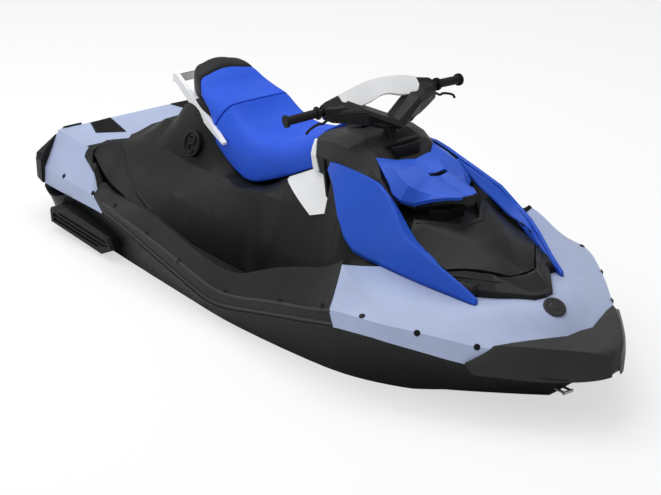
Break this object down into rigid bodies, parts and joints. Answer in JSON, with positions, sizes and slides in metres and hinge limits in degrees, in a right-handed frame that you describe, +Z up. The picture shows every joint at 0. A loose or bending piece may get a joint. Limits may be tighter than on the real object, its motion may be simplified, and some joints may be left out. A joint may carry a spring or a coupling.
{
  "type": "personal watercraft",
  "caption": "Two-seat personal watercraft: vee hull, angular bow deck with storage lid, long blue seat, grab handle, handlebar and steered jet pump.",
  "frame": {"origin": "on the waterline at rest, on the centre plane, 1.40 m ahead of the transom", "axes": "+X towards the bow, +Y to port, +Z up"},
  "size_m": [3.0479, 1.1824, 1.1315],
  "materials": {
    "hull_plastic": "moulded texture",
    "lavender_plastic": "moulded satin",
    "blue_plastic": "moulded satin",
    "white_plastic": "moulded satin",
    "black_plastic": "moulded texture",
    "mat_foam": "matte",
    "seat_blue": "matte",
    "seat_dark": "matte",
    "grip_rubber": "matte",
    "display": "gloss",
    "cast_alloy": "cast",
    "stainless": "brushed",
    "engine_metal": "painted"
  },
  "bodies": {
    "craft": {"aft_deck": "lavender_plastic", "bow_bumper": "black_plastic", "bow_deck": "lavender_plastic", "bow_eye": "stainless", "console": "black_plastic", "cowl_base": "black_plastic", "deck_band_left": "hull_plastic", "deck_band_right": "hull_plastic", "drain_plug_left": "black_plastic", "drain_plug_right": "black_plastic", "engine": "engine_metal", "filler_cap": "black_plastic", "footwell_left": "hull_plastic", "footwell_right": "hull_plastic", "gauge": "display", "grab_handle": "white_plastic", "hood": "black_plastic", "hull": "hull_plastic", "intake_grate": "cast_alloy", "knee_panel_left": "white_plastic", "knee_panel_right": "white_plastic", "lid_surround": "black_plastic", "nose_cowl": "blue_plastic", "pedestal": "hull_plastic", "pump_housing": "cast_alloy", "ride_plate": "black_plastic", "seat_front": "seat_blue", "seat_rear": "seat_blue", "seat_tail": "seat_dark", "sponson_left": "black_plastic", "sponson_right": "black_plastic", "stern_cap_left": "black_plastic", "stern_cap_right": "black_plastic", "stern_eye_left": "stainless", "stern_eye_right": "stainless", "storage_bin": "black_plastic", "traction_mat_left": "mat_foam", "traction_mat_right": "mat_foam", "vent_slats": "black_plastic", "wing_left": "blue_plastic", "wing_right": "blue_plastic"},
    "bars": {"handlebar": "black_plastic", "handlebar_cover": "white_plastic", "grip_left": "grip_rubber", "grip_right": "grip_rubber", "brake_lever": "black_plastic", "throttle_lever": "black_plastic"},
    "nozzle": {"steering_nozzle": "black_plastic"},
    "bucket": {"reverse_bucket": "black_plastic"},
    "rotor": {"impeller": "stainless"},
    "lid": {"storage_lid": "black_plastic"}
  },
  "joints": [
    {"name": "steering", "type": "hinge", "parent": "craft", "child": "bars", "pos_m": [0.345, 0, 0.743], "axis": [-0.5, 0, 0.866], "range_deg": [-22, 22]},
    {"name": "nozzle_turn", "type": "hinge", "parent": "craft", "child": "nozzle", "pos_m": [-1.38, 0, -0.089], "axis": [0, 0, 1], "range_deg": [-20, 20]},
    {"name": "bucket_drop", "type": "hinge", "parent": "craft", "child": "bucket", "pos_m": [-1.375, 0, -0.089], "axis": [0, -1, 0], "range_deg": [0, 50]},
    {"name": "rotor_spin", "type": "hinge", "parent": "craft", "child": "rotor", "pos_m": [-1.2, 0, -0.089], "axis": [1, 0, 0], "continuous": true},
    {"name": "lid_open", "type": "hinge", "parent": "craft", "child": "lid", "pos_m": [1.078, 0, 0.413], "axis": [0, 1, 0], "range_deg": [0, 55]}
  ],
  "couplings": [
    {"joint": "nozzle_turn", "follows": "steering", "ratio": -0.8}
  ]
}
